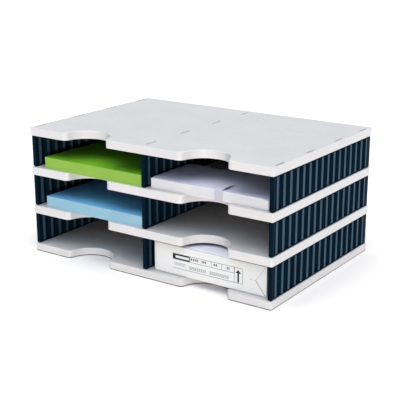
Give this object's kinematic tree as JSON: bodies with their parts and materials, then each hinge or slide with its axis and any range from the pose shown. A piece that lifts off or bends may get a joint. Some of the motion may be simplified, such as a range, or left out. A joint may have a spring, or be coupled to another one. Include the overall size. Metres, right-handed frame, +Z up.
{
  "type": "desk letter sorter",
  "caption": "Wide desktop letter sorter: flat plates with finger cut-outs plugged onto corrugated walls, with paper stacks and a wrapped ream that slide out at the front.",
  "frame": {"origin": "middle of the base plate's underside", "axes": "+X to the right seen from the front, +Y to the back, +Z up"},
  "size_m": [0.485, 0.331, 0.223],
  "materials": {
    "plate_plastic": "satin light grey moulded polystyrene",
    "wall_plastic": "glossy dark blue moulded polystyrene",
    "panel_plastic": "matte black sheet",
    "green_paper": "uncoated coloured copier paper",
    "blue_paper": "uncoated coloured copier paper",
    "white_paper": "uncoated white envelopes",
    "band_paper": "grey paper band",
    "ream_wrapper": "coated white wrapping paper"
  },
  "bodies": {
    "sorter": {"base_plate": "plate_plastic", "lower_shelf": "plate_plastic", "upper_shelf": "plate_plastic", "top_plate": "plate_plastic", "bottom_left_wall": "wall_plastic", "bottom_centre_wall": "wall_plastic", "bottom_right_wall": "wall_plastic", "bottom_left_rear_panel": "panel_plastic", "bottom_right_rear_panel": "panel_plastic", "middle_left_wall": "wall_plastic", "middle_centre_wall": "wall_plastic", "middle_right_wall": "wall_plastic", "middle_left_rear_panel": "panel_plastic", "middle_right_rear_panel": "panel_plastic", "top_left_wall": "wall_plastic", "top_centre_wall": "wall_plastic", "top_right_wall": "wall_plastic", "top_left_rear_panel": "panel_plastic", "top_right_rear_panel": "panel_plastic"},
    "green_stack": {"green_paper_stack": "green_paper"},
    "blue_stack": {"blue_paper_stack": "blue_paper"},
    "envelopes": {"envelope_stack": "white_paper", "envelope_band": "band_paper"},
    "ream": {"paper_ream": "ream_wrapper"}
  },
  "joints": [
    {"name": "green_stack_slide", "type": "slide", "parent": "sorter", "child": "green_stack", "axis": [0, -1, 0], "range_m": [-0.022, 0.15]},
    {"name": "blue_stack_slide", "type": "slide", "parent": "sorter", "child": "blue_stack", "axis": [0, -1, 0], "range_m": [-0.022, 0.15]},
    {"name": "envelope_slide", "type": "slide", "parent": "sorter", "child": "envelopes", "axis": [0, -1, 0], "range_m": [-0.204, 0.06]},
    {"name": "ream_slide", "type": "slide", "parent": "sorter", "child": "ream", "axis": [0, -1, 0], "range_m": [-0.011, 0.15]}
  ]
}
